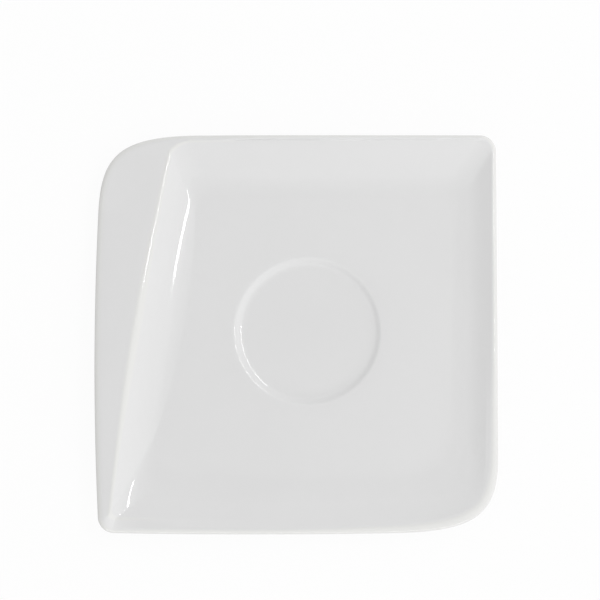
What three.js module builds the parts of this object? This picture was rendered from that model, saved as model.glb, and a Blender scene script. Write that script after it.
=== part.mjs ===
// A nearly square coffee saucer of glazed porcelain: a flat floor with a round cup well, rims that scoop
// up on all four sides, and on the left a rim that widens into a wing behind a slanting crest.
// The porcelain body stands on a bare foot ring; two coats of glaze cover the rest of it.
// Millimetres. +X is the saucer's right, +Y its back and +Z up. The origin lies under its middle,
// on the table.

import * as THREE from 'three';
import { mergeGeometries, mergeVertices } from 'three/addons/utils/BufferGeometryUtils.js';

// Outline, seen from above
const saucerLength = 160; // left to right
const saucerWidth = 158; // front to back
const leftSwell = 1.4; // how far the left side bows out past its ends
const frontSwell = 0.5; // the same for the front side
const rightLean = 1; // how much further in the right side is at its back end than at its front end
const softReachAlong = 42; // the soft corners' rounding along the front and back
const softReachAcross = 30.5; // the soft corners' rounding along the left and right
const tightReach = 6.5; // the tight corners' rounding along each side
const softFullness = 0.78; // how far a soft corner is pulled towards its sharp point
const tightFullness = 0.55; // the same for a tight corner: close to an arc

// Wall and foot
const wallThickness = 4.4; // from floor to underside, glaze included
const rimThickness = 3.4; // the same at the crest and the lip
const glazeThickness = 0.3;
const footHeight = 3.8; // from the table to the underside
const footMarginSides = 9.5; // from the floor's left and right edges in to the foot's outer wall
const footMarginEnds = 15; // the same from its front and back edges
const footWidth = 3.6; // the foot ring's width where the glaze stops
const footDraft = 0.8; // how far each foot wall leans out from its standing edge to its root
const footFillet = 1.6; // where the foot's walls run into the underside
const footEdge = 0.4; // rounding of the standing face's edges
const footReach = 18; // rounding of the foot ring's corners
const bareHeight = 1; // bare porcelain above the table, where the glaze was wiped off

// Cup well
const wellDiameter = 59.5; // at the top of its wall
const wellDepth = 1.5;
const wellWallRun = 4.2; // the wall's width, seen from above
const wellHollow = 0.55; // share of that width in which the wall leaves the well's floor
const wellRound = 0.4; // share in which it rounds over into the saucer's floor
const wellShiftX = 4.6; // the well's centre, to the right of the saucer's middle
const wellShiftY = 1.3; // and behind it

// Rims: the crest's height above the floor at the middle of each side, at the left side's two ends and at
// the front right corner
const riseRight = 4;
const riseBack = 6;
const riseLeftBack = 6;
const riseLeft = 6.8;
const riseLeftFront = 6.4;
const riseFront = 3;
const riseFrontRight = 3.8;

// Scoops: their width from the floor's edge to the crest, seen from above
const runBack = 23.5;
const runRight = 14.5;
const runFrontRight = 18;
const runFrontLeft = 19.5;
const runLeftBack = 10;
const runLeftFront = 15.5;
const floorSwell = 4; // how far the floor's left edge bows in towards the well
const valleyReachRight = 7; // rounding of the floor's corners, where two scoops meet
const valleyReachBack = 6;
const valleyReachFront = 7;
const toeFold = 1; // softness of the floor's edge
const scoopBend = 1.3; // 1 bends a scoop evenly, more bends it more towards its crest

// Share of a scoop's width that is curved; the rest runs straight up to the crest
const curvedRight = 0.85;
const curvedBack = 0.6;
const curvedLeftBack = 0.85;
const curvedLeft = 1;
const curvedLeftFront = 0.8;
const curvedFront = 0.9;

// Slope with which the left scoop leaves the floor, as a share of its mean slope; the others leave it level
const toeLeftBack = 0.25;
const toeLeft = 0.15;
const toeLeftFront = 0.15;

// Crest: its distance in from the lip's middle line and, at the wing's two ends, from the saucer's outline
const rimBand = 1.2;
const turnedBand = 2.4; // at the front right corner, where the rim turns over
const wingBack = 31; // from the left end
const wingFront = 6.2; // from the left end, and from the front
const wingTilt = 4.5; // degrees that the wing falls from the crest out to its lip
const turnOver = 0.2; // share of the back and front sides in which the rim turns over into the wing
const crestSwell = 2; // how far the left crest bows out past its ends
const crestReachAlong = 8; // rounding of the crest's back left corner along the back
const crestReachAcross = 5; // and along the crest
const crestReachFront = 2.5; // rounding of its front left corner

// Softness of the crest: how far its rounding reaches on each side of the fold
const foldPlain = 0.5;
const foldLeftBack = 1.2;
const foldLeft = 1.9;
const foldLeftFront = 1.5;
const foldUnder = 2.5; // the fold on the underside

// Lip: how far its rounding reaches in from the outline
const lipRight = 1.5;
const lipBack = 1;
const lipLeftBack = 2.9;
const lipLeft = 3.2;
const lipLeftFront = 2.8;
const lipFront = 1.8;
const lipFrontRight = 3.2;

// Steps round every loop, counter-clockwise from the front end of the right side
const sideSteps = { right: 8, back: 8, left: 10, front: 8 };
const cornerSteps = { backRight: 5, backLeft: 8, frontLeft: 5, frontRight: 8 };
const wellWallSteps = 5;
const scoopSteps = 5;
const nearEnd = 0.08; // share of a scoop's width that shows which way it leaves its two ends
const underSteps = 3;
const lipSteps = 6;

// The step at which each side begins, and how many steps a whole loop has
const backStart = sideSteps.right + cornerSteps.backRight;
const leftStart = backStart + sideSteps.back + cornerSteps.backLeft;
const frontStart = leftStart + sideSteps.left + cornerSteps.frontLeft;
const stations = frontStart + sideSteps.front + cornerSteps.frontRight;

const floorHeight = footHeight + wallThickness;
const lipHalf = rimThickness / 2;
const filletMiddle = footFillet * (1 - Math.SQRT1_2);
const wellCentre = new THREE.Vector2(wellShiftX, wellShiftY);
const wingSlope = -Math.tan(THREE.MathUtils.degToRad(wingTilt));
const eased = (t) => THREE.MathUtils.smoothstep(t, 0, 1);

// A corner of a loop: its sharp point, and how far its rounding reaches along the sides before and after it
function corner(x, y, before, after, fullness) {
  return { point: new THREE.Vector2(x, y), before, after, fullness };
}

// A corner placed from another loop's corner
function beside(other, x, y, before, after, fullness) {
  return corner(other.point.x + x, other.point.y + y, before, after, fullness);
}

// A side of a loop from one corner to the next, bowed out by its swell
function side(from, to, swell) {
  const towards = (a, b, reach) => b.point.clone().sub(a.point).setLength(reach).add(a.point);
  const start = towards(from, to, from.after);
  const end = towards(to, from, to.before);
  const along = end.clone().sub(start).normalize();
  const middle = start.clone().lerp(end, 0.5);
  middle.addScaledVector(new THREE.Vector2(along.y, -along.x), 2 * swell);
  return new THREE.QuadraticBezierCurve(start, middle, end);
}

// A corner that leaves its two sides without a kink
function rounding(here, before, after) {
  const leaving = before.getTangent(1).multiplyScalar(here.fullness * here.before);
  const entering = after.getTangent(0).multiplyScalar(-here.fullness * here.after);
  const [start, end] = [before.v2, after.v0];
  return new THREE.CubicBezierCurve(start, start.clone().add(leaving), end.clone().add(entering), end);
}

// A closed loop seen from above: four bowed sides and four rounded corners
function loop({ backRight, backLeft, frontLeft, frontRight }, swells) {
  const right = side(frontRight, backRight, swells.right);
  const back = side(backRight, backLeft, swells.back);
  const left = side(backLeft, frontLeft, swells.left);
  const front = side(frontLeft, frontRight, swells.front);
  return [
    ...right.getPoints(sideSteps.right).slice(0, -1),
    ...rounding(backRight, right, back).getPoints(cornerSteps.backRight).slice(0, -1),
    ...back.getPoints(sideSteps.back).slice(0, -1),
    ...rounding(backLeft, back, left).getPoints(cornerSteps.backLeft).slice(0, -1),
    ...left.getPoints(sideSteps.left).slice(0, -1),
    ...rounding(frontLeft, left, front).getPoints(cornerSteps.frontLeft).slice(0, -1),
    ...front.getPoints(sideSteps.front).slice(0, -1),
    ...rounding(frontRight, front, right).getPoints(cornerSteps.frontRight).slice(0, -1),
  ];
}
const straight = { right: 0, back: 0, left: 0, front: 0 };

// One value for each station, eased from each place to the next
function around({ right, back, leftBack, left, leftFront, front, frontRight }) {
  const firstMiddle = sideSteps.right / 2;
  const places = [
    { station: firstMiddle, value: right },
    { station: backStart + sideSteps.back / 2, value: back },
    { station: leftStart, value: leftBack },
    { station: leftStart + sideSteps.left / 2, value: left },
    { station: leftStart + sideSteps.left, value: leftFront },
    { station: frontStart + sideSteps.front / 2, value: front },
    { station: stations - cornerSteps.frontRight / 2, value: frontRight },
    { station: stations + firstMiddle, value: right },
  ];
  return Array.from({ length: stations }, (_, i) => {
    const here = i < firstMiddle ? i + stations : i;
    const after = places.findIndex((place) => place.station > here);
    const [from, to] = [places[after - 1], places[after]];
    const t = (here - from.station) / (to.station - from.station);
    return THREE.MathUtils.lerp(from.value, to.value, eased(t));
  });
}

// How much of the rim's tilt is the wing's: all of it round the wing, none on the plain sides
const wingShare = Array.from({ length: stations }, (_, i) => {
  const backEndStep = backStart + sideSteps.back;
  const beforeWing = (backEndStep - i) / sideSteps.back;
  const afterWing = (i - frontStart) / sideSteps.front;
  const away = Math.max(beforeWing, afterWing, 0);
  return eased(Math.max(1 - away / turnOver, 0));
});

const raised = (points, height) => points.map((p, i) => new THREE.Vector3(p.x, p.y, height(i)));
const between = (a, b, t) => a.map((p, i) => p.clone().lerp(b[i], t));

// Outline of the lip
const rightEnd = saucerLength / 2;
const backEnd = saucerWidth / 2;
const leanPerLength = rightLean / (saucerWidth - frontSwell - softReachAcross);
const outlineCorners = {
  backRight: corner(rightEnd - rightLean, backEnd, tightReach, tightReach, tightFullness),
  backLeft: corner(-rightEnd + leftSwell, backEnd, softReachAlong, softReachAcross, softFullness),
  frontLeft: corner(-rightEnd + leftSwell, -backEnd + frontSwell, tightReach, tightReach, tightFullness),
  frontRight: corner(
    rightEnd + leanPerLength * softReachAcross,
    -backEnd + frontSwell,
    softReachAlong,
    softReachAcross,
    softFullness,
  ),
};
const outline = loop(outlineCorners, { ...straight, left: leftSwell, front: frontSwell });

// Crest: a plain band inside the lip, except on the left, where it slants away from the wing's outer edge
const insetRight = lipRight + rimBand;
const insetBack = lipBack + rimBand;
const insetTurned = lipFrontRight + turnedBand;
const crestCorners = {
  backRight: beside(outlineCorners.backRight, -insetRight, -insetBack, tightReach, tightReach, tightFullness),
  backLeft: corner(
    -rightEnd + wingBack,
    backEnd - insetBack,
    crestReachAlong,
    crestReachAcross,
    tightFullness,
  ),
  frontLeft: corner(
    -rightEnd + wingFront,
    -backEnd + frontSwell + wingFront,
    crestReachFront,
    crestReachFront,
    tightFullness,
  ),
  frontRight: beside(
    outlineCorners.frontRight,
    -insetTurned,
    insetTurned,
    softReachAlong - insetTurned,
    softReachAcross - insetTurned,
    softFullness,
  ),
};
const crestRise = around({
  right: riseRight,
  back: riseBack,
  leftBack: riseLeftBack,
  left: riseLeft,
  leftFront: riseLeftFront,
  front: riseFront,
  frontRight: riseFrontRight,
});
const crestLine = loop(crestCorners, { ...straight, left: crestSwell, front: frontSwell });
const crest = raised(crestLine, (i) => floorHeight + crestRise[i]);

// Floor's edge, where the scoops begin
const floorCorners = {
  backRight: beside(
    crestCorners.backRight,
    -runRight,
    -runBack,
    valleyReachRight,
    valleyReachRight,
    tightFullness,
  ),
  backLeft: beside(
    crestCorners.backLeft,
    runLeftBack,
    -runBack,
    valleyReachBack,
    valleyReachBack,
    tightFullness,
  ),
  frontLeft: beside(
    crestCorners.frontLeft,
    runLeftFront,
    runFrontLeft,
    valleyReachFront,
    valleyReachFront,
    tightFullness,
  ),
  frontRight: beside(
    crestCorners.frontRight,
    -runRight,
    runFrontRight,
    softReachAlong - runFrontRight,
    softReachAcross - insetTurned,
    tightFullness,
  ),
};
const floorEdge = raised(loop(floorCorners, { ...straight, left: -floorSwell }), () => floorHeight);

// Cup well: rings from its centre out to the top of its wall
function circle(radius, height) {
  const firstAngle = -sideSteps.right / 2;
  return Array.from({ length: stations }, (_, i) => {
    const angle = ((firstAngle + i) / stations) * 2 * Math.PI;
    const x = wellCentre.x + radius * Math.cos(angle);
    const y = wellCentre.y + radius * Math.sin(angle);
    return new THREE.Vector3(x, y, height);
  });
}

function cupWell() {
  const outer = wellDiameter / 2;
  const bottom = floorHeight - wellDepth;
  const wall = new THREE.CubicBezierCurve(
    new THREE.Vector2(outer - wellWallRun, bottom),
    new THREE.Vector2(outer - wellWallRun * (1 - wellHollow), bottom),
    new THREE.Vector2(outer - wellWallRun * wellRound, floorHeight),
    new THREE.Vector2(outer, floorHeight),
  );
  const centre = [new THREE.Vector3(wellCentre.x, wellCentre.y, bottom)];
  return [centre, ...wall.getPoints(wellWallSteps).map((p) => circle(p.x, p.y))];
}

// Scoop: from the floor's edge up to a crest. Its slope eases from the toe's to the steepest over the curved
// share, then stays; both slopes are multiples of the mean slope.
const curved = around({
  right: curvedRight,
  back: curvedBack,
  leftBack: curvedLeftBack,
  left: curvedLeft,
  leftFront: curvedLeftFront,
  front: curvedFront,
  frontRight: curvedFront,
});
const toe = around({
  right: 0,
  back: 0,
  leftBack: toeLeftBack,
  left: toeLeft,
  leftFront: toeLeftFront,
  front: 0,
  frontRight: 0,
});
const slopeLost = scoopBend / (scoopBend + 1); // share of the steepest slope that the curved part lacks
const steepest = curved.map((share, i) => (1 - toe[i] * share * slopeLost) / (1 - share * slopeLost));

function scoopLift(t, i) {
  const bent = Math.min(t / curved[i], 1);
  const lift = toe[i] * bent + ((steepest[i] - toe[i]) * bent ** (scoopBend + 1)) / (scoopBend + 1);
  return curved[i] * lift + steepest[i] * (t - curved[i] * bent);
}

function scoop(edge, top, t) {
  return between(edge, top, t).map((p, i) => {
    return p.setZ(THREE.MathUtils.lerp(edge[i].z, top[i].z, scoopLift(t, i)));
  });
}

// A fold rounded off: three rings in place of the sharp line between two faces
function fold(below, sharp, above, reach) {
  const step = (from, to, i) => to[i].clone().sub(from[i]).setLength(reach[i]).add(from[i]);
  const first = sharp.map((p, i) => step(sharp, below, i));
  const last = sharp.map((p, i) => step(sharp, above, i));
  return [first, between(between(first, last, 0.5), sharp, 0.5), last];
}

// Lip: half an ellipse at the outline, square to it, whose ends run into the rim's top face and underside
const lipReach = around({
  right: lipRight,
  back: lipBack,
  leftBack: lipLeftBack,
  left: lipLeft,
  leftFront: lipLeftFront,
  front: lipFront,
  frontRight: lipFrontRight,
});
const outward = outline.map((p, i) => {
  const along = outline[(i + 1) % stations].clone().sub(outline.at(i - 1)).normalize();
  return new THREE.Vector2(along.y, -along.x);
});
const lipCentre = outline.map((p, i) => p.clone().addScaledVector(outward[i], -lipReach[i]));

// Slopes of the two faces that meet in the crest: the scoop's, and the rim's out to the lip
const scoopRun = crest.map((p, i) => new THREE.Vector2(p.x - floorEdge[i].x, p.y - floorEdge[i].y));
const scoopSlope = scoopRun.map((run, i) => (steepest[i] * crestRise[i]) / run.length());
const rimSlope = scoopSlope.map((slope, i) => THREE.MathUtils.lerp(slope, wingSlope, wingShare[i]));

function lip(turn) {
  return lipCentre.map((p, i) => {
    const rise = lipReach[i] * rimSlope[i];
    const angle = Math.atan2(lipHalf, -rise) - Math.PI * turn;
    const away = p.distanceTo(crest[i]);
    const middle = crest[i].z + away * rimSlope[i] - Math.hypot(lipHalf, rise);
    const flat = p.clone().addScaledVector(outward[i], lipReach[i] * Math.cos(angle));
    return new THREE.Vector3(flat.x, flat.y, middle + lipHalf * Math.sin(angle));
  });
}

// Underside of the crest: the crest moved through the rim's wall, square to the fold's two faces
function crestUnderside() {
  return crest.map((p, i) => {
    const scoopTilt = Math.atan(scoopSlope[i]);
    const rimTilt = Math.atan(rimSlope[i]);
    const tilt = (scoopTilt + rimTilt) / 2;
    const depth = rimThickness / Math.cos((scoopTilt - rimTilt) / 2);
    const out = scoopRun[i].clone().setLength(1).multiplyScalar(depth * Math.sin(tilt));
    return new THREE.Vector3(p.x + out.x, p.y + out.y, p.z - depth * Math.cos(tilt));
  });
}

// Foot ring: a rounded loop inside the floor's edge, moved in from the foot's outer wall
function footLoop(moveIn, height) {
  const left = floorCorners.backLeft.point.x + footMarginSides + moveIn;
  const right = floorCorners.frontRight.point.x - footMarginSides - moveIn;
  const back = floorCorners.backLeft.point.y - footMarginEnds - moveIn;
  const front = floorCorners.frontRight.point.y + footMarginEnds + moveIn;
  const reach = footReach - moveIn;
  const rounded = (x, y) => corner(x, y, reach, reach, tightFullness);
  const corners = {
    backRight: rounded(right, back),
    backLeft: rounded(left, back),
    frontLeft: rounded(left, front),
    frontRight: rounded(right, front),
  };
  return raised(loop(corners, straight), () => height);
}

const steps = (count) => Array.from({ length: count - 1 }, (_, k) => (k + 1) / count);

// Outer face of the glaze from the middle of the cup well, over the rim and down to the bare foot
function coatRings() {
  const well = cupWell();
  const lipRings = Array.from({ length: lipSteps + 1 }, (_, k) => lip(k / lipSteps));
  const scoopRings = steps(scoopSteps).map((t) => scoop(floorEdge, crest, t));
  const foldReach = around({
    right: foldPlain,
    back: foldPlain,
    leftBack: foldLeftBack,
    left: foldLeft,
    leftFront: foldLeftFront,
    front: foldPlain,
    frontRight: foldPlain,
  });
  const crestFold = fold(scoop(floorEdge, crest, 1 - nearEnd), crest, lipRings[0], foldReach);
  const toeReach = crest.map(() => toeFold);
  const floorFold = fold(well.at(-1), floorEdge, scoop(floorEdge, crest, nearEnd), toeReach);
  const underEdge = floorEdge.map((p) => p.clone().setZ(footHeight));
  const underCrest = crestUnderside();
  const underReach = crest.map(() => foldUnder);
  const underRings = steps(underSteps).map((t) => scoop(underEdge, underCrest, t)).reverse();
  const underFold = fold(lipRings.at(-1), underCrest, underRings[0], underReach);
  return [
    ...well,
    ...floorFold,
    ...scoopRings,
    ...crestFold,
    between(crestFold.at(-1), lipRings[0], 0.5),
    ...lipRings,
    ...underFold,
    ...underRings,
    underEdge,
    footLoop(-footDraft - footFillet, footHeight),
    footLoop(-footDraft - filletMiddle, footHeight - filletMiddle),
    footLoop(-footDraft, footHeight - footFillet),
    footLoop(0, bareHeight),
  ];
}

// Outer face of the glaze inside the foot ring, from its bare edge to the middle of the underside
function undersideRings() {
  const root = footWidth + footDraft;
  return [
    footLoop(footWidth, bareHeight),
    footLoop(root, footHeight - footFillet),
    footLoop(root + filletMiddle, footHeight - filletMiddle),
    footLoop(root + footFillet, footHeight),
    [new THREE.Vector3(wellCentre.x, wellCentre.y, footHeight)],
  ];
}

// Bare standing ring of the porcelain, under both coats
function standingRings() {
  const outer = glazeThickness;
  const inner = footWidth - glazeThickness;
  return [
    footLoop(outer, footEdge),
    footLoop(outer + footEdge, 0),
    footLoop(inner - footEdge, 0),
    footLoop(inner, footEdge),
  ];
}

// A surface through rings; a ring of one point is a pole
function skin(rings) {
  const points = rings.flat();
  const starts = rings.map((ring, k) => rings.slice(0, k).reduce((sum, r) => sum + r.length, 0));
  const at = (k, i) => starts[k] + (i % rings[k].length);
  const index = [];
  for (let k = 0; k + 1 < rings.length; k += 1) {
    for (let i = 0; i < stations; i += 1) {
      const [a, b, c, d] = [at(k, i), at(k + 1, i), at(k + 1, i + 1), at(k, i + 1)];
      const acrossAC = points[a].distanceTo(points[c]) <= points[b].distanceTo(points[d]);
      const faces = acrossAC ? [[a, b, c], [a, c, d]] : [[a, b, d], [b, c, d]];
      index.push(...faces.filter((face) => new Set(face).size === 3).flat());
    }
  }
  return new THREE.BufferGeometry().setFromPoints(points).setIndex(index);
}

function insideOut(geometry) {
  const turned = geometry.clone();
  turned.setIndex([...geometry.index.array].reverse());
  return turned;
}

// Rings moved in by the glaze's thickness, square to the surface that they lie on
function underGlaze(rings, surface, firstPoint) {
  const normals = surface.getAttribute('normal');
  return rings.map((ring, k) => {
    const start = firstPoint + rings.slice(0, k).flat().length;
    return ring.map((p, i) => {
      const normal = new THREE.Vector3().fromBufferAttribute(normals, start + i);
      return p.clone().addScaledVector(normal, -glazeThickness);
    });
  });
}

const coat = coatRings();
const underside = undersideRings();
const footprint = [footLoop(0, 0), footLoop(footWidth, 0)];
const glazedSurface = skin([...coat, ...footprint, ...underside]);
glazedSurface.computeVertexNormals();
const bodyOutside = underGlaze(coat, glazedSurface, 0);
const bodyInside = underGlaze(underside, glazedSurface, [...coat, ...footprint].flat().length);

const porcelainBody = skin([...bodyOutside, ...standingRings(), ...bodyInside]);
const glazeCoat = mergeGeometries([
  skin(coat),
  skin([coat.at(-1), bodyOutside.at(-1)]),
  insideOut(skin(bodyOutside)),
]);
const undersideGlaze = mergeGeometries([
  skin(underside),
  skin([bodyInside[0], underside[0]]),
  insideOut(skin(bodyInside)),
]);

const barePorcelain = new THREE.MeshStandardMaterial({ color: 0xe6e0d6, roughness: 0.75, metalness: 0 });
const clearGlaze = new THREE.MeshStandardMaterial({ color: 0xe4e4e2, roughness: 0.08, metalness: 0 });
const thinGlaze = new THREE.MeshStandardMaterial({ color: 0xe2e2df, roughness: 0.12, metalness: 0 });

function piece(name, geometry, material) {
  const mesh = new THREE.Mesh(mergeVertices(geometry), material);
  mesh.name = name;
  return mesh;
}

const saucer = new THREE.Group();
saucer.add(
  piece('porcelain_body', porcelainBody, barePorcelain),
  piece('glaze_coat', glazeCoat, clearGlaze),
  piece('underside_glaze', undersideGlaze, thinGlaze),
);

export default saucer;
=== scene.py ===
"""A nearly square coffee saucer of glazed porcelain, with a round cup well, rims that scoop up on all sides
and a wing along its left side, behind a slanting crest.

The saucer is one long loft: rings run from the middle of the cup well over the rim, down to the foot and in
under the floor. Metres in the scene, millimetres in the sizes below. +X is the saucer's right, +Y its back.
"""
import math
from collections import namedtuple

import bmesh
import bpy
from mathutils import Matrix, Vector
from mathutils.geometry import interpolate_bezier


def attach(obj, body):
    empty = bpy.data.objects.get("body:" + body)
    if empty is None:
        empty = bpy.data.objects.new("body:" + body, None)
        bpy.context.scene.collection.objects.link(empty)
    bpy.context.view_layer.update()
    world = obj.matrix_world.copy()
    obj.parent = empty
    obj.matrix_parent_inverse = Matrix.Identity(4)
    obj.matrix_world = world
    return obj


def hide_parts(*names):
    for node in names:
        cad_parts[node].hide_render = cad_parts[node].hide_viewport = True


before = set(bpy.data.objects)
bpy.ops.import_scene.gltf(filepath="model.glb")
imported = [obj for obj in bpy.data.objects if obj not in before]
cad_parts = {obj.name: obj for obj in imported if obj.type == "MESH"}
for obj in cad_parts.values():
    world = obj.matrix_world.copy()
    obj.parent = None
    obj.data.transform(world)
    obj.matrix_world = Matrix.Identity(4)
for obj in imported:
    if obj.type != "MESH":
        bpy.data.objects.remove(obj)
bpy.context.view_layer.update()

MM = 0.001

# Outline, seen from above
SAUCER_LENGTH = 160
SAUCER_WIDTH = 158
LEFT_SWELL = 1.4
FRONT_SWELL = 0.5
RIGHT_LEAN = 1
SOFT_REACH_ALONG = 42
SOFT_REACH_ACROSS = 30.5
TIGHT_REACH = 6.5
SOFT_FULLNESS = 0.78
TIGHT_FULLNESS = 0.55

# Wall and foot
WALL = 4.4
RIM_WALL = 3.4
GLAZE = 0.3
FOOT_HEIGHT = 3.8
FOOT_MARGIN_SIDES = 9.5
FOOT_MARGIN_ENDS = 15
FOOT_WIDTH = 3.6
FOOT_DRAFT = 0.8
FOOT_FILLET = 1.6
FOOT_EDGE = 0.4
FOOT_REACH = 18
BARE_HEIGHT = 1

# Cup well
WELL_DIAMETER = 59.5
WELL_DEPTH = 1.5
WELL_WALL_RUN = 4.2
WELL_HOLLOW = 0.55
WELL_ROUND = 0.4
WELL_CENTRE = Vector((4.6, 1.3))

# Crest and floor's edge, seen from above
RIM_BAND = 1.2
TURNED_BAND = 2.4
WING_BACK = 31
WING_FRONT = 6.2
CREST_SWELL = 2
CREST_REACH_ALONG = 8
CREST_REACH_ACROSS = 5
CREST_REACH_FRONT = 2.5
RUN_BACK = 23.5
RUN_RIGHT = 14.5
RUN_FRONT_RIGHT = 18
RUN_FRONT_LEFT = 19.5
RUN_LEFT_BACK = 10
RUN_LEFT_FRONT = 15.5
FLOOR_SWELL = 4
VALLEY_REACH_RIGHT = 7
VALLEY_REACH_BACK = 6
VALLEY_REACH_FRONT = 14
SCOOP_BEND = 1.3

# Values that change round the rim: at the sides' middles, the left side's ends and the turned corner.
# The crest's height over the floor, the curved share of the scoop, its slope at the toe as a multiple of its
# mean slope, the crest's rounding, and how far in the lip's round reaches
RISE = dict(right=4, back=6, left_back=6, left=6.8, left_front=6.4, front=3, front_right=3.8)
CURVED = dict(right=0.85, back=0.6, left_back=0.85, left=1, left_front=0.8, front=0.9, front_right=0.9)
TOE = dict(right=0, back=0, left_back=0.25, left=0.15, left_front=0.15, front=0, front_right=0)
FOLD = dict(right=0.5, back=0.5, left_back=1.6, left=3, left_front=1.5, front=0.5, front_right=0.5)
LIP_REACH = dict(right=1.5, back=1, left_back=2.9, left=3.2, left_front=2.8, front=1.8, front_right=3.2)

# Share of the back and front sides in which the rim turns over, the wing's tilt in degrees, and the roundings
# at the scoop's toe and under the crest
TURN_OVER = 0.2
WING_TILT = -4.5
TOE_FOLD = 1
FOLD_UNDER = 2.5

# Steps round every loop: the four sides, then the corner that follows each of them
SIDES = ("right", "back", "left", "front")
CORNERS = ("back_right", "back_left", "front_left", "front_right")
SIDE_STEPS = (18, 18, 26, 18)
CORNER_STEPS = (12, 18, 12, 18)
STATIONS = sum(SIDE_STEPS) + sum(CORNER_STEPS)

# Steps along the loft, how far from the foot to the middle the underside's rings lie, and the smoothing
WELL_FLOOR_STEPS = 4
WELL_WALL_STEPS = 8
FLOOR_STEPS = 4
SCOOP_STEPS = 12
FOLD_STEPS = 4
RIM_STEPS = 3
LIP_STEPS = 6
UNDER_STEPS = 6
FILLET_STEPS = 3
UNDERSIDE_SHARES = (0.35, 0.7, 0.95)
SMOOTH_LEVELS = 1

FLOOR_HEIGHT = FOOT_HEIGHT + WALL
RIGHT_END = SAUCER_LENGTH / 2
BACK_END = SAUCER_WIDTH / 2

# The photograph's frame, in pixels, and the saucer's box in it
IMAGE_SIZE = 600
SAUCER_LEFT_PIXEL = 93.6
SAUCER_RIGHT_PIXEL = 499
SAUCER_TOP_PIXEL = 135
SAUCER_BOTTOM_PIXEL = 535.4
CAMERA_HEIGHT = 1250
SENSOR = 36

# Glaze: its white where thick, thin and thinnest, how wide and deep its waves are, and how it reflects
TOP_WHITES = ("#E4E4E4", "#E7E7E7", "#E8E8E6")
UNDER_WHITES = ("#E2E2E1", "#E5E5E4", "#E7E6E3")
TOP_ROUGHNESS = 0.06
UNDER_ROUGHNESS = 0.1
GLAZE_IOR = 1.52
DRIFT_SIZE = 38
WAVE_SIZE = 9
WAVE_DEPTH = 0.006
PEEL_SIZE = 1.6
PEEL_DEPTH = 0.0015

# Bare porcelain: its grain, drawn coarser than it is so that it shows, and the patches where it is scuffed
GRAIN_DARK = "#E0DAD0"
GRAIN_LIGHT = "#ECE8DF"
GRAIN_SIZE = 0.5
GRAIN_DEPTH = 0.03
GRAIN_STRENGTH = 0.6
SCUFF_COLOUR = "#CDC7BC"
SCUFF_SIZE = 7
SCUFF_START = 0.52
SCUFF_FULL = 0.7
SCUFF_SHARE = 0.5
BARE_ROUGHNESS = 0.75
BARE_IOR = 1.5

# Studio: the board, the card over the camera, and the room's light with its change to the right and the back
WHITE = "#FFFFFF"
BOARD_COLOUR = "#F2F2F2"
BOARD_SIZE = 6000
BOARD_WHITE = 0.94
CARD_MIDDLE = "#8C8C8C"
CARD_HEIGHT = 1320
CARD_RADIUS = 420
CARD_SEGMENTS = 64
ROOM_LIGHT = 0.768
ROOM_RIGHT = 0.28
ROOM_BACK = -0.06

# Softboxes: name, place, size, turn in degrees about X, Y and Z, and radiance
SOFTBOXES = (
    ("key_softbox", (365, 265, 800), (110, 410), (0, 24, 0), 8),
    ("key_strip", (365, 10, 800), (42, 100), (0, 24, 0), 24),
    ("front_softbox", (120, -760, 240), (600, 160), (73, 0, 0), 2.4),
)

THINNESS = "glaze_thinness"

Corner = namedtuple("Corner", "point before after fullness")


# Loops seen from above

def corner(x, y, before, after, fullness):
    return Corner(Vector((x, y)), before, after, fullness)


def beside(other, x, y, before, after, fullness):
    """A corner placed from another loop's corner."""
    return corner(other.point.x + x, other.point.y + y, before, after, fullness)


def part_way(start, end, distance):
    return start + (end - start).normalized() * distance


def loop(corners, swells):
    """A closed loop, counter-clockwise from the front end of the right side: four bowed sides, each leading
    to a rounded corner."""
    count = len(corners)
    starts = [part_way(c.point, corners[k - 1].point, c.before) for k, c in enumerate(corners)]
    ends = [part_way(c.point, corners[(k + 1) % count].point, c.after) for k, c in enumerate(corners)]
    third = [(starts[k] - ends[k - 1]) / 3 for k in range(count)]
    # The middle of such a curve moves three quarters as far as its handles
    bow = [Vector((t.y, -t.x)).normalized() * swell * 4 / 3 for t, swell in zip(third, swells)]
    points = []
    for k, here in enumerate(corners):
        begin = ends[k - 1]
        end = starts[k]
        side = interpolate_bezier(
            begin, begin + third[k] + bow[k], end - third[k] + bow[k], end, SIDE_STEPS[k] + 1,
        )
        after = (k + 1) % count
        leaving = (third[k] - bow[k]).normalized() * here.fullness * here.before
        entering = (third[after] + bow[after]).normalized() * here.fullness * here.after
        rounding = interpolate_bezier(end, end + leaving, ends[k] - entering, ends[k], CORNER_STEPS[k] + 1)
        points += side[:-1] + rounding[:-1]
    return points


def eased(t):
    return t * t * (3 - 2 * t)


def around(places):
    """One value for each station, eased from each place to the next."""
    back_start = SIDE_STEPS[0] + CORNER_STEPS[0]
    left_start = back_start + SIDE_STEPS[1] + CORNER_STEPS[1]
    front_start = left_start + SIDE_STEPS[2] + CORNER_STEPS[2]
    stations = dict(
        right=SIDE_STEPS[0] / 2,
        back=back_start + SIDE_STEPS[1] / 2,
        left_back=left_start,
        left=left_start + SIDE_STEPS[2] / 2,
        left_front=left_start + SIDE_STEPS[2],
        front=front_start + SIDE_STEPS[3] / 2,
        front_right=STATIONS - CORNER_STEPS[3] / 2,
    )
    stops = [(stations[name], places[name]) for name in stations]
    stops.append((stations["right"] + STATIONS, places["right"]))
    values = [0] * STATIONS
    for (start, low), (stop, high) in zip(stops, stops[1:]):
        for i in range(math.ceil(start), math.ceil(stop)):
            values[i % STATIONS] = low + (high - low) * eased((i - start) / (stop - start))
    return values


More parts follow.
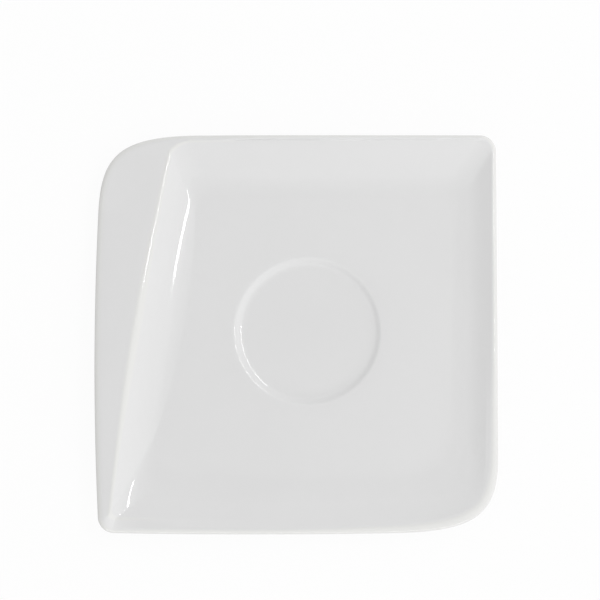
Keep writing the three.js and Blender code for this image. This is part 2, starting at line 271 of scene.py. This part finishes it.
def wing_share():
    """1 round the wing and 0 elsewhere; the rim turns over on the back and front sides next to the wing."""
    values = []
    for k, side in enumerate(SIDES):
        for step in range(SIDE_STEPS[k]):
            t = step / SIDE_STEPS[k]
            away = dict(right=1, back=1 - t, left=0, front=t)[side]
            values.append(eased(max(1 - away / TURN_OVER, 0)))
        values += [1 if "left" in CORNERS[k] else 0] * CORNER_STEPS[k]
    return values


def raised(points, heights):
    return [Vector((p.x, p.y, z)) for p, z in zip(points, heights)]


def level(points, height):
    return [Vector((p.x, p.y, height)) for p in points]


def between(ring_a, ring_b, t):
    return [a.lerp(b, t) for a, b in zip(ring_a, ring_b)]


def shares(count):
    """The steps strictly between 0 and 1."""
    return [step / count for step in range(1, count)]


# The saucer's main lines

lean_per_length = RIGHT_LEAN / (SAUCER_WIDTH - FRONT_SWELL - SOFT_REACH_ACROSS)
outline_corners = [
    corner(RIGHT_END - RIGHT_LEAN, BACK_END, TIGHT_REACH, TIGHT_REACH, TIGHT_FULLNESS),
    corner(-RIGHT_END + LEFT_SWELL, BACK_END, SOFT_REACH_ALONG, SOFT_REACH_ACROSS, SOFT_FULLNESS),
    corner(-RIGHT_END + LEFT_SWELL, -BACK_END + FRONT_SWELL, TIGHT_REACH, TIGHT_REACH, TIGHT_FULLNESS),
    corner(
        RIGHT_END + lean_per_length * SOFT_REACH_ACROSS, -BACK_END + FRONT_SWELL,
        SOFT_REACH_ALONG, SOFT_REACH_ACROSS, SOFT_FULLNESS,
    ),
]
outline = loop(outline_corners, (0, 0, LEFT_SWELL, FRONT_SWELL))

inset_right = LIP_REACH["right"] + RIM_BAND
inset_back = LIP_REACH["back"] + RIM_BAND
inset_turned = LIP_REACH["front_right"] + TURNED_BAND
crest_corners = [
    beside(outline_corners[0], -inset_right, -inset_back, TIGHT_REACH, TIGHT_REACH, TIGHT_FULLNESS),
    corner(
        -RIGHT_END + WING_BACK, BACK_END - inset_back,
        CREST_REACH_ALONG, CREST_REACH_ACROSS, TIGHT_FULLNESS,
    ),
    corner(
        -RIGHT_END + WING_FRONT, -BACK_END + FRONT_SWELL + WING_FRONT,
        CREST_REACH_FRONT, CREST_REACH_FRONT, TIGHT_FULLNESS,
    ),
    beside(
        outline_corners[3], -inset_turned, inset_turned,
        SOFT_REACH_ALONG - inset_turned, SOFT_REACH_ACROSS - inset_turned, SOFT_FULLNESS,
    ),
]
crest_rise = around(RISE)
crest = raised(
    loop(crest_corners, (0, 0, CREST_SWELL, FRONT_SWELL)),
    [FLOOR_HEIGHT + rise for rise in crest_rise],
)

floor_corners = [
    beside(crest_corners[0], -RUN_RIGHT, -RUN_BACK, VALLEY_REACH_RIGHT, VALLEY_REACH_RIGHT, TIGHT_FULLNESS),
    beside(crest_corners[1], RUN_LEFT_BACK, -RUN_BACK, VALLEY_REACH_BACK, VALLEY_REACH_BACK, TIGHT_FULLNESS),
    beside(
        crest_corners[2], RUN_LEFT_FRONT, RUN_FRONT_LEFT,
        VALLEY_REACH_FRONT, VALLEY_REACH_FRONT, TIGHT_FULLNESS,
    ),
    beside(
        crest_corners[3], -RUN_RIGHT, RUN_FRONT_RIGHT,
        SOFT_REACH_ALONG - RUN_FRONT_RIGHT, SOFT_REACH_ACROSS - inset_turned, TIGHT_FULLNESS,
    ),
]
floor_edge = level(loop(floor_corners, (0, 0, -FLOOR_SWELL, 0)), FLOOR_HEIGHT)


# Rings of the cup well

def circle(radius, height):
    ring = []
    for i in range(STATIONS):
        angle = 2 * math.pi * (i - SIDE_STEPS[0] / 2) / STATIONS
        ring.append(Vector((
            WELL_CENTRE.x + radius * math.cos(angle), WELL_CENTRE.y + radius * math.sin(angle), height,
        )))
    return ring


def cup_well():
    outer = WELL_DIAMETER / 2
    inner = outer - WELL_WALL_RUN
    bottom = FLOOR_HEIGHT - WELL_DEPTH
    wall = interpolate_bezier(
        Vector((inner, bottom)), Vector((inner + WELL_WALL_RUN * WELL_HOLLOW, bottom)),
        Vector((outer - WELL_WALL_RUN * WELL_ROUND, FLOOR_HEIGHT)), Vector((outer, FLOOR_HEIGHT)),
        WELL_WALL_STEPS + 1,
    )
    flat = [circle(inner * t, bottom) for t in shares(WELL_FLOOR_STEPS)]
    return flat + [circle(p.x, p.y) for p in wall]


# Rings of the scoops, the crest and the lip

curved = around(CURVED)
toe = around(TOE)
# A scoop's steepest slope, as a multiple of its mean slope
slope_lost = SCOOP_BEND / (SCOOP_BEND + 1)
steepest = [(1 - low * share * slope_lost) / (1 - share * slope_lost) for low, share in zip(toe, curved)]


def scoop_lift(i, t):
    """Height gained at t of the way: the slope eases from the toe's to the steepest over the curved share,
    then stays."""
    bent = min(t / curved[i], 1)
    lift = toe[i] * bent + (steepest[i] - toe[i]) * bent ** (SCOOP_BEND + 1) / (SCOOP_BEND + 1)
    return curved[i] * lift + steepest[i] * (t - curved[i] * bent)


def scoop(edge, top, way):
    """One ring of a scoop; way says how far up it is at each station, from 0 at the edge to 1 at the top."""
    ring = []
    for i, t in enumerate(way):
        point = edge[i].lerp(top[i], t)
        point.z = edge[i].z + (top[i].z - edge[i].z) * scoop_lift(i, t)
        ring.append(point)
    return ring


def fold(below, sharp, above, reach, count):
    """Rings that round off the sharp line between two faces."""
    first = [part_way(s, b, r) for s, b, r in zip(sharp, below, reach)]
    last = [part_way(s, a, r) for s, a, r in zip(sharp, above, reach)]
    rings = []
    for step in range(count + 1):
        t = step / count
        rings.append(between(between(first, sharp, t), between(sharp, last, t), t))
    return rings


lip_reach = around(LIP_REACH)
lip_half = RIM_WALL / 2
outward = []
for i, point in enumerate(outline):
    along = (outline[(i + 1) % STATIONS] - outline[i - 1]).normalized()
    outward.append(Vector((along.y, -along.x)))
lip_centre = [p - o * r for p, o, r in zip(outline, outward, lip_reach)]

# Slopes of the two faces that meet in the crest: the scoop's, and the rim's out to the lip
scoop_slope = [
    steepest[i] * crest_rise[i] / (crest[i].xy - floor_edge[i].xy).length for i in range(STATIONS)
]
wing_slope = math.tan(math.radians(WING_TILT))
rim_slope = [s + (wing_slope - s) * share for s, share in zip(scoop_slope, wing_share())]


def lip(turn):
    """One line along the lip's half round: at turn 0 the rim's top face runs into it, at 1 the underside."""
    ring = []
    for i, centre in enumerate(lip_centre):
        rise = lip_reach[i] * rim_slope[i]
        angle = math.atan2(lip_half, -rise) - math.pi * turn
        away = (centre - crest[i].xy).length
        middle = crest[i].z + away * rim_slope[i] - math.hypot(lip_half, rise)
        flat = centre + outward[i] * lip_reach[i] * math.cos(angle)
        ring.append(Vector((flat.x, flat.y, middle + lip_half * math.sin(angle))))
    return ring


def crest_underside():
    """The crest moved through the wall, square to the fold's two faces."""
    ring = []
    for i, top in enumerate(crest):
        out = (top.xy - floor_edge[i].xy).normalized()
        scoop_tilt = math.atan(scoop_slope[i])
        rim_tilt = math.atan(rim_slope[i])
        tilt = (scoop_tilt + rim_tilt) / 2
        depth = RIM_WALL / math.cos((scoop_tilt - rim_tilt) / 2)
        ring.append(top + Vector((*(out * depth * math.sin(tilt)), -depth * math.cos(tilt))))
    return ring


# Rings of the foot

def foot_loop(move_in, height):
    left = floor_corners[1].point.x + FOOT_MARGIN_SIDES + move_in
    right = floor_corners[3].point.x - FOOT_MARGIN_SIDES - move_in
    back = floor_corners[1].point.y - FOOT_MARGIN_ENDS - move_in
    front = floor_corners[3].point.y + FOOT_MARGIN_ENDS + move_in
    reach = FOOT_REACH - move_in
    places = ((right, back), (left, back), (left, front), (right, front))
    return level(loop([corner(x, y, reach, reach, TIGHT_FULLNESS) for x, y in places], (0, 0, 0, 0)), height)


def foot_fillet(root, side):
    """From the foot's wall, up and round into the underside; side is +1 inside the ring and -1 outside it."""
    rings = []
    for step in range(FILLET_STEPS + 1):
        turn = math.radians(90 * step / FILLET_STEPS)
        run = FOOT_FILLET * (1 - math.cos(turn))
        rings.append(foot_loop(root + side * run, FOOT_HEIGHT - FOOT_FILLET * (1 - math.sin(turn))))
    return rings


def coat_rings():
    """Outer face of the glaze from the middle of the cup well, over the rim and down to the bare foot,
    and how thin it has run along each ring: on the lip, and on the crest beside the wing."""
    well = cup_well()
    lip_rings = [lip(step / LIP_STEPS) for step in range(LIP_STEPS + 1)]
    crest_reach = around(FOLD)
    below_fold = [1 - reach / (c - e).length for reach, c, e in zip(crest_reach, crest, floor_edge)]
    scoop_rings = [scoop(floor_edge, crest, [t * way for way in below_fold]) for t in shares(SCOOP_STEPS)]
    crest_fold = fold(scoop(floor_edge, crest, below_fold), crest, lip_rings[0], crest_reach, FOLD_STEPS)
    toe_fold = fold(well[-1], floor_edge, scoop_rings[0], [TOE_FOLD] * STATIONS, FOLD_STEPS)
    under_edge = level(floor_edge, FOOT_HEIGHT)
    under_crest = crest_underside()
    under_rings = [scoop(under_edge, under_crest, [t] * STATIONS) for t in reversed(shares(UNDER_STEPS))]
    under_fold = fold(lip_rings[-1], under_crest, under_rings[0], [FOLD_UNDER] * STATIONS, FOLD_STEPS)
    floor_rings = [between(well[-1], toe_fold[0], t) for t in shares(FLOOR_STEPS)]
    rim_rings = [between(crest_fold[-1], lip_rings[0], t) for t in shares(RIM_STEPS)]
    foot_rings = list(reversed(foot_fillet(-FOOT_DRAFT, -1))) + [foot_loop(0, BARE_HEIGHT)]
    dish = well + floor_rings + toe_fold + scoop_rings[1:] + crest_fold[:1]
    wing = crest_fold[-1:] + rim_rings + lip_rings[:1]
    below = lip_rings[-1:] + under_fold + under_rings + [under_edge] + foot_rings
    even = [0] * STATIONS
    thin_lip = [1] * STATIONS
    thin_crest = wing_share()
    sections = (
        (dish, even),
        (crest_fold[1:-1], thin_crest),
        (wing, even),
        (lip_rings[1:-1], thin_lip),
        (below, even),
    )
    rings = [ring for section, thin in sections for ring in section]
    thinness = [thin for section, thin in sections for ring in section]
    return rings, thinness


def underside_rings():
    """Outer face of the glaze inside the foot ring, from its bare edge to the middle of the underside."""
    walls = [foot_loop(FOOT_WIDTH, BARE_HEIGHT)] + foot_fillet(FOOT_WIDTH + FOOT_DRAFT, 1)
    middle = level([WELL_CENTRE] * STATIONS, FOOT_HEIGHT)
    return walls + [between(walls[-1], middle, t) for t in UNDERSIDE_SHARES]


def standing_rings():
    """Bare standing ring of the porcelain, from coat to coat, with both its edges eased."""
    outer = GLAZE
    inner = FOOT_WIDTH - GLAZE
    eased_edge = FOOT_EDGE / 3
    return [
        foot_loop(outer, FOOT_EDGE),
        foot_loop(outer + eased_edge, eased_edge),
        foot_loop(outer + FOOT_EDGE, 0),
        foot_loop((outer + inner) / 2, 0),
        foot_loop(inner - FOOT_EDGE, 0),
        foot_loop(inner - eased_edge, eased_edge),
        foot_loop(inner, FOOT_EDGE),
    ]


# Meshes

def loft(rings, cap_first=False, cap_last=False):
    """A ring of edges drawn out from place to place, with its first cap looking up or its last one down.
    Gives the mesh and its rings of vertices."""
    bm = bmesh.new()
    bm.verts.layers.float.new(THINNESS)
    made = bmesh.ops.create_circle(bm, segments=STATIONS, radius=1, cap_ends=cap_first)
    current = made["verts"]
    edges = list(bm.edges)
    place(current, rings[0])
    lofted = [current]
    for ring in rings[1:]:
        geometry = bmesh.ops.extrude_edge_only(bm, edges=edges)["geom"]
        fresh = {g for g in geometry if isinstance(g, bmesh.types.BMVert)}
        current = [next(e.other_vert(v) for e in v.link_edges if e.other_vert(v) in fresh) for v in current]
        edges = [bm.edges.get((a, b)) for a, b in zip(current, current[1:] + current[:1])]
        place(current, ring)
        lofted.append(current)
    if cap_last:
        bmesh.ops.contextual_create(bm, geom=edges)
    bmesh.ops.recalc_face_normals(bm, faces=bm.faces)
    bm.faces.ensure_lookup_table()
    right_way_out = bm.faces[0].normal.z > 0 if cap_first else bm.faces[-1].normal.z < 0
    if not right_way_out:
        bmesh.ops.reverse_faces(bm, faces=bm.faces)
    bm.normal_update()
    return bm, lofted


def place(vertices, points):
    for vertex, point in zip(vertices, points):
        vertex.co = point * MM


def in_scene(name, data):
    made = bpy.data.objects.new(name, data)
    bpy.context.scene.collection.objects.link(made)
    return made


def mesh_object(name, bm, material):
    mesh = bpy.data.meshes.new(name)
    bm.to_mesh(mesh)
    bm.free()
    mesh.materials.append(material)
    return in_scene(name, mesh)


def smooth_piece(name, bm, material, node):
    """The mesh as a smooth piece that stands for a node of the frame."""
    piece = mesh_object(name, bm, material)
    piece.data.shade_smooth()
    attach(piece, "root")
    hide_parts(node)
    smooth = piece.modifiers.new("smooth", "SUBSURF")
    smooth.levels = SMOOTH_LEVELS
    smooth.render_levels = SMOOTH_LEVELS
    return piece


def thickened(piece):
    wall = piece.modifiers.new("glaze", "SOLIDIFY")
    wall.thickness = GLAZE * MM
    wall.offset = -1


# Materials

def linear(hex_colour):
    """An sRGB hex value as a linear colour."""
    channels = [int(hex_colour[k:k + 2], 16) / 255 for k in (1, 3, 5)]
    return (*[c / 12.92 if c <= 0.04045 else ((c + 0.055) / 1.055) ** 2.4 for c in channels], 1)


def add_node(tree, kind, inputs=None, **settings):
    """A node with its settings; an input is a value or another node's output."""
    made = tree.nodes.new(kind)
    for name, value in settings.items():
        setattr(made, name, value)
    for socket, value in (inputs or {}).items():
        if isinstance(value, bpy.types.NodeSocket):
            tree.links.new(value, made.inputs[socket])
        else:
            made.inputs[socket].default_value = value
    return made


def new_material(name):
    material = bpy.data.materials.new(name)
    material.use_nodes = True
    material.node_tree.nodes.clear()
    return material, material.node_tree


def noise(tree, place_on, size_mm, detail):
    """A soft random pattern with patches of about this size."""
    inputs = {"Vector": place_on, "Scale": 1 / (size_mm * MM), "Detail": detail}
    return add_node(tree, "ShaderNodeTexNoise", inputs).outputs["Fac"]


def glazed_porcelain(name, whites, roughness):
    """Clear glaze fired over white porcelain: an even neutral white with a hard gloss. The glaze lies in slow
    waves with a fine peel on them, which bend its reflections a little, its white drifts very slightly over
    the piece, and along the edges, where it runs thinnest, a trace of the warmer porcelain shows."""
    thick, thin, thinnest = whites
    material, tree = new_material(name)
    place_on = add_node(tree, "ShaderNodeTexCoord").outputs["Object"]
    drift = noise(tree, place_on, DRIFT_SIZE, 2)
    colour = add_node(
        tree, "ShaderNodeMix", {0: drift, 6: linear(thick), 7: linear(thin)}, data_type="RGBA",
    )
    run_thin = add_node(tree, "ShaderNodeAttribute", attribute_name=THINNESS)
    shown = add_node(
        tree, "ShaderNodeMix",
        {0: run_thin.outputs["Fac"], 6: colour.outputs[2], 7: linear(thinnest)}, data_type="RGBA",
    )
    waves = noise(tree, place_on, WAVE_SIZE, 1)
    peel = noise(tree, place_on, PEEL_SIZE, 1)
    wavy = add_node(tree, "ShaderNodeBump", {"Height": waves, "Distance": WAVE_DEPTH * MM, "Strength": 1})
    peeled = add_node(
        tree, "ShaderNodeBump",
        {"Height": peel, "Distance": PEEL_DEPTH * MM, "Strength": 1, "Normal": wavy.outputs[0]},
    )
    shader = add_node(
        tree, "ShaderNodeBsdfPrincipled",
        {
            "Base Color": shown.outputs[2], "Roughness": roughness, "IOR": GLAZE_IOR,
            "Normal": peeled.outputs[0],
        },
    )
    add_node(tree, "ShaderNodeOutputMaterial", {"Surface": shader.outputs[0]})
    return material


def bare_porcelain():
    """Fired porcelain with no glaze, polished on a wheel: matte, faintly warm, with a fine grain and a few
    greyer patches where it has stood and been pushed about."""
    material, tree = new_material("bare_polished_porcelain")
    place_on = add_node(tree, "ShaderNodeTexCoord").outputs["Object"]
    grain = noise(tree, place_on, GRAIN_SIZE, 3)
    colour = add_node(
        tree, "ShaderNodeMix", {0: grain, 6: linear(GRAIN_DARK), 7: linear(GRAIN_LIGHT)}, data_type="RGBA",
    )
    scuffed = add_node(
        tree, "ShaderNodeMapRange",
        {
            "Value": noise(tree, place_on, SCUFF_SIZE, 3),
            "From Min": SCUFF_START, "From Max": SCUFF_FULL, "To Max": SCUFF_SHARE,
        },
    )
    worn = add_node(
        tree, "ShaderNodeMix",
        {0: scuffed.outputs[0], 6: colour.outputs[2], 7: linear(SCUFF_COLOUR)}, data_type="RGBA",
    )
    rough = add_node(
        tree, "ShaderNodeBump",
        {"Height": grain, "Distance": GRAIN_DEPTH * MM, "Strength": GRAIN_STRENGTH},
    )
    shader = add_node(
        tree, "ShaderNodeBsdfPrincipled",
        {
            "Base Color": worn.outputs[2], "Roughness": BARE_ROUGHNESS, "IOR": BARE_IOR,
            "Normal": rough.outputs[0],
        },
    )
    add_node(tree, "ShaderNodeOutputMaterial", {"Surface": shader.outputs[0]})
    return material


# The three pieces

def build_saucer():
    coat, thinness = coat_rings()
    underside = underside_rings()

    bm, lofted = loft(coat + standing_rings() + underside, cap_first=True, cap_last=True)
    # The porcelain lies under the glaze wherever it is coated
    for ring in lofted[:len(coat)] + lofted[-len(underside):]:
        for vertex in ring:
            vertex.co -= vertex.normal * GLAZE * MM
    smooth_piece("porcelain_body_smooth", bm, bare_porcelain(), "porcelain_body")

    bm, lofted = loft(coat, cap_first=True)
    layer = bm.verts.layers.float[THINNESS]
    for ring, thin in zip(lofted, thinness):
        for vertex, share in zip(ring, thin):
            vertex[layer] = share
    white = glazed_porcelain("clear_glaze_on_porcelain", TOP_WHITES, TOP_ROUGHNESS)
    thickened(smooth_piece("glaze_coat_smooth", bm, white, "glaze_coat"))

    bm, _ = loft(underside, cap_last=True)
    thinner = glazed_porcelain("thin_glaze_on_porcelain", UNDER_WHITES, UNDER_ROUGHNESS)
    thickened(smooth_piece("underside_glaze_smooth", bm, thinner, "underside_glaze"))


# Studio

def seen_directly(tree):
    """1 for the camera and for what it sees mirrored or through glass, else 0."""
    path = add_node(tree, "ShaderNodeLightPath")
    mirrored = add_node(
        tree, "ShaderNodeMath",
        {0: path.outputs["Is Glossy Ray"], 1: path.outputs["Is Transmission Ray"]}, operation="MAXIMUM",
    )
    seen = add_node(
        tree, "ShaderNodeMath",
        {0: path.outputs["Is Camera Ray"], 1: mirrored.outputs[0]}, operation="MAXIMUM",
    )
    return seen.outputs[0]


def studio_floor():
    """A white board, bright where the camera or a reflection sees it, that keeps the saucer's shadow."""
    bm = bmesh.new()
    bmesh.ops.create_grid(bm, x_segments=1, y_segments=1, size=BOARD_SIZE * MM / 2)
    material, tree = new_material("white_board")
    diffuse = add_node(tree, "ShaderNodeBsdfDiffuse", {"Color": linear(BOARD_COLOUR)})
    white = add_node(tree, "ShaderNodeEmission", {"Color": linear(WHITE), "Strength": 1})
    share = add_node(tree, "ShaderNodeMath", {0: seen_directly(tree), 1: BOARD_WHITE}, operation="MULTIPLY")
    mixed = add_node(
        tree, "ShaderNodeMixShader", {0: share.outputs[0], 1: diffuse.outputs[0], 2: white.outputs[0]},
    )
    add_node(tree, "ShaderNodeOutputMaterial", {"Surface": mixed.outputs[0]})
    mesh_object("studio_board", bm, material)


def studio_room():
    """A pale room around the saucer, brighter to the right and a little to the front; white where seen."""
    world = bpy.data.worlds.new("studio")
    world.use_nodes = True
    tree = world.node_tree
    tree.nodes.clear()
    direction = add_node(tree, "ShaderNodeTexCoord").outputs["Generated"]
    split = add_node(tree, "ShaderNodeSeparateXYZ", {0: direction})
    across = add_node(
        tree, "ShaderNodeMath",
        {0: split.outputs["X"], 1: ROOM_RIGHT, 2: ROOM_LIGHT}, operation="MULTIPLY_ADD",
    )
    along = add_node(
        tree, "ShaderNodeMath",
        {0: split.outputs["Y"], 1: ROOM_BACK, 2: across.outputs[0]}, operation="MULTIPLY_ADD",
    )
    lit = add_node(tree, "ShaderNodeBackground", {"Color": linear(WHITE), "Strength": along.outputs[0]})
    white = add_node(tree, "ShaderNodeBackground", {"Color": linear(WHITE), "Strength": 1})
    mixed = add_node(
        tree, "ShaderNodeMixShader", {0: seen_directly(tree), 1: lit.outputs[0], 2: white.outputs[0]},
    )
    add_node(tree, "ShaderNodeOutputWorld", {"Surface": mixed.outputs[0]})
    bpy.context.scene.world = world


def ceiling_card():
    """A card above the camera, grey in its middle: level glaze mirrors it and so looks a little greyer."""
    bm = bmesh.new()
    bmesh.ops.create_circle(bm, segments=CARD_SEGMENTS, radius=CARD_RADIUS * MM, cap_ends=True)
    material, tree = new_material("shaded_card")
    place_on = add_node(tree, "ShaderNodeTexCoord").outputs["Object"]
    shrunk = add_node(
        tree, "ShaderNodeMapping", {"Vector": place_on, "Scale": [1 / (CARD_RADIUS * MM)] * 3},
    )
    middle = add_node(
        tree, "ShaderNodeTexGradient", {"Vector": shrunk.outputs[0]}, gradient_type="QUADRATIC_SPHERE",
    )
    colour = add_node(
        tree, "ShaderNodeMix",
        {0: middle.outputs["Fac"], 6: linear(WHITE), 7: linear(CARD_MIDDLE)}, data_type="RGBA",
    )
    matte = add_node(tree, "ShaderNodeBsdfDiffuse", {"Color": colour.outputs[2]})
    add_node(tree, "ShaderNodeOutputMaterial", {"Surface": matte.outputs[0]})
    card = mesh_object("ceiling_card", bm, material)
    card.location.z = CARD_HEIGHT * MM


def softbox(name, place_mm, size_mm, turn_degrees, radiance):
    """A soft light that faces down before it is turned; radiance 1 is white."""
    lamp = bpy.data.lights.new(name, "AREA")
    lamp.shape = "RECTANGLE"
    lamp.size = size_mm[0] * MM
    lamp.size_y = size_mm[1] * MM
    lamp.energy = radiance * math.pi * lamp.size * lamp.size_y
    box = in_scene(name, lamp)
    box.location = Vector(place_mm) * MM
    box.rotation_euler = [math.radians(turn) for turn in turn_degrees]


def camera():
    """Straight above, as the photograph was taken."""
    width_pixels = SAUCER_RIGHT_PIXEL - SAUCER_LEFT_PIXEL
    lip_height = FLOOR_HEIGHT + RISE["back"]
    mm_per_pixel = SAUCER_LENGTH / width_pixels
    data = bpy.data.cameras.new("camera")
    data.sensor_width = SENSOR
    data.lens = SENSOR * (CAMERA_HEIGHT - lip_height) / (IMAGE_SIZE * mm_per_pixel)
    eye = in_scene("camera", data)
    across = IMAGE_SIZE / 2 - (SAUCER_LEFT_PIXEL + SAUCER_RIGHT_PIXEL) / 2
    up = (SAUCER_TOP_PIXEL + SAUCER_BOTTOM_PIXEL) / 2 - IMAGE_SIZE / 2
    eye.location = Vector((across * mm_per_pixel, up * mm_per_pixel, CAMERA_HEIGHT)) * MM
    bpy.context.scene.camera = eye


build_saucer()
studio_floor()
studio_room()
ceiling_card()
for values in SOFTBOXES:
    softbox(*values)
camera()
bpy.context.scene.view_settings.view_transform = "Standard"
